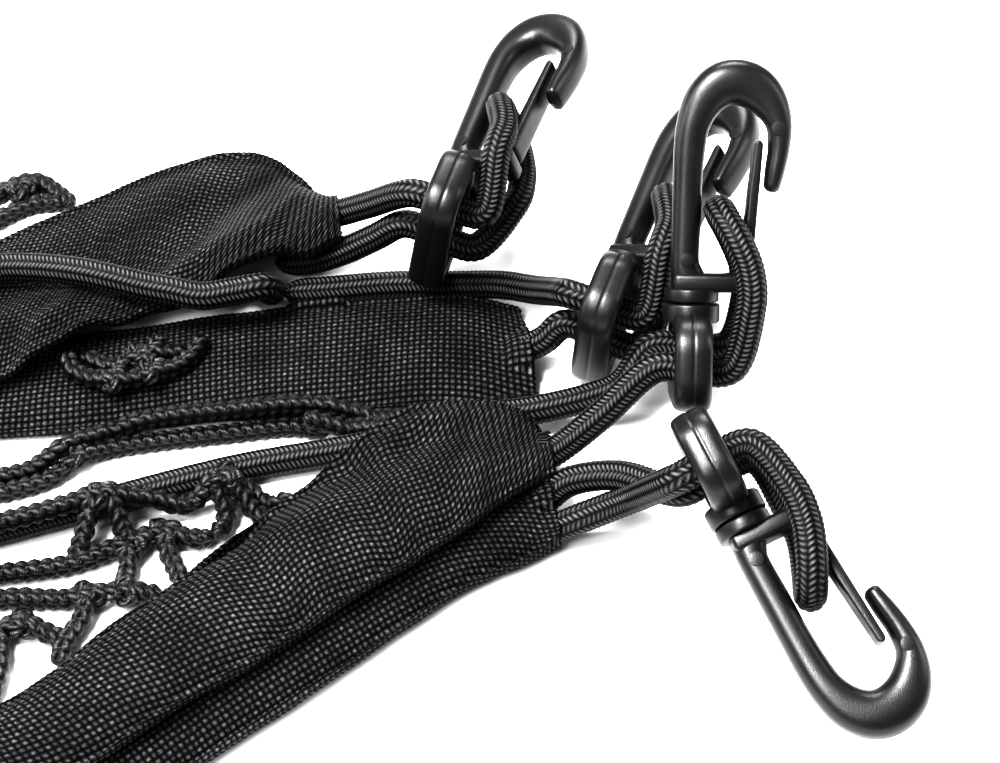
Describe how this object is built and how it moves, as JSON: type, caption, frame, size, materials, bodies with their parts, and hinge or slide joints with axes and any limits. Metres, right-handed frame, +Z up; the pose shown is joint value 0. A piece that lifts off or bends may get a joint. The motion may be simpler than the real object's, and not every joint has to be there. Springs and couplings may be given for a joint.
{
  "type": "cargo net",
  "caption": "Folded black cargo net with woven border sleeves and plastic swivel snap hooks on elastic cord loops.",
  "frame": {"origin": "middle of the footprint at the surface the bundle lies on, measured without the elastic cords", "axes": "+X from the bundle along its length to the snap hooks, +Y across it, +Z up"},
  "size_m": [0.2872, 0.1882, 0.0602],
  "materials": {
    "bungee_loop_1": "braided elastic cord, black",
    "bungee_loop_2": "braided elastic cord, black",
    "bungee_loop_3": "braided elastic cord, black",
    "bungee_loop_4": "braided elastic cord, black",
    "bungee_side": "braided elastic cord, black",
    "hook_1_body": "moulded satin black",
    "hook_1_gate": "moulded satin black",
    "hook_1_ring": "moulded satin black",
    "hook_2_body": "moulded satin black",
    "hook_2_gate": "moulded satin black",
    "hook_2_ring": "moulded satin black",
    "hook_3_body": "moulded satin black",
    "hook_3_gate": "moulded satin black",
    "hook_3_ring": "moulded satin black",
    "hook_4_body": "moulded satin black",
    "hook_4_gate": "moulded satin black",
    "hook_4_ring": "moulded satin black",
    "net_back": "knitted cord, black",
    "net_front": "knitted cord, black",
    "net_middle": "knitted cord, black",
    "sleeve_far": "coarse woven webbing, black",
    "sleeve_near": "coarse woven webbing, black"
  },
  "bodies": {
    "net": {"bungee_loop_1": "bungee_loop_1", "bungee_loop_2": "bungee_loop_2", "bungee_loop_3": "bungee_loop_3", "bungee_loop_4": "bungee_loop_4", "bungee_side": "bungee_side", "hook_1_body": "hook_1_body", "hook_1_ring": "hook_1_ring", "hook_2_body": "hook_2_body", "hook_2_ring": "hook_2_ring", "hook_3_body": "hook_3_body", "hook_3_ring": "hook_3_ring", "hook_4_body": "hook_4_body", "hook_4_ring": "hook_4_ring", "net_back": "net_back", "net_front": "net_front", "net_middle": "net_middle", "sleeve_far": "sleeve_far", "sleeve_near": "sleeve_near"},
    "gate_1": {"hook_1_gate": "hook_1_gate"},
    "gate_2": {"hook_2_gate": "hook_2_gate"},
    "gate_3": {"hook_3_gate": "hook_3_gate"},
    "gate_4": {"hook_4_gate": "hook_4_gate"}
  },
  "joints": [
    {"name": "hook_1_gate_hinge", "type": "hinge", "parent": "net", "child": "gate_1", "pos_m": [0.07401, 0.05777, 0.02654], "axis": [-0.351, 0.0217, 0.9361], "range_deg": [0, 9], "stiffness_Nm_per_rad": 0.05},
    {"name": "hook_2_gate_hinge", "type": "hinge", "parent": "net", "child": "gate_2", "pos_m": [0.10519, 0.03607, 0.02283], "axis": [-0.4422, -0.017, 0.8968], "range_deg": [0, 9], "stiffness_Nm_per_rad": 0.05},
    {"name": "hook_3_gate_hinge", "type": "hinge", "parent": "net", "child": "gate_3", "pos_m": [0.11616, 0.02287, 0.03196], "axis": [-0.0302, -0.7308, 0.6819], "range_deg": [0, 9], "stiffness_Nm_per_rad": 0.05},
    {"name": "hook_4_gate_hinge", "type": "hinge", "parent": "net", "child": "gate_4", "pos_m": [0.12446, -0.02952, 0.02099], "axis": [0.0721, 0.3913, -0.9174], "range_deg": [0, 9], "stiffness_Nm_per_rad": 0.05}
  ]
}
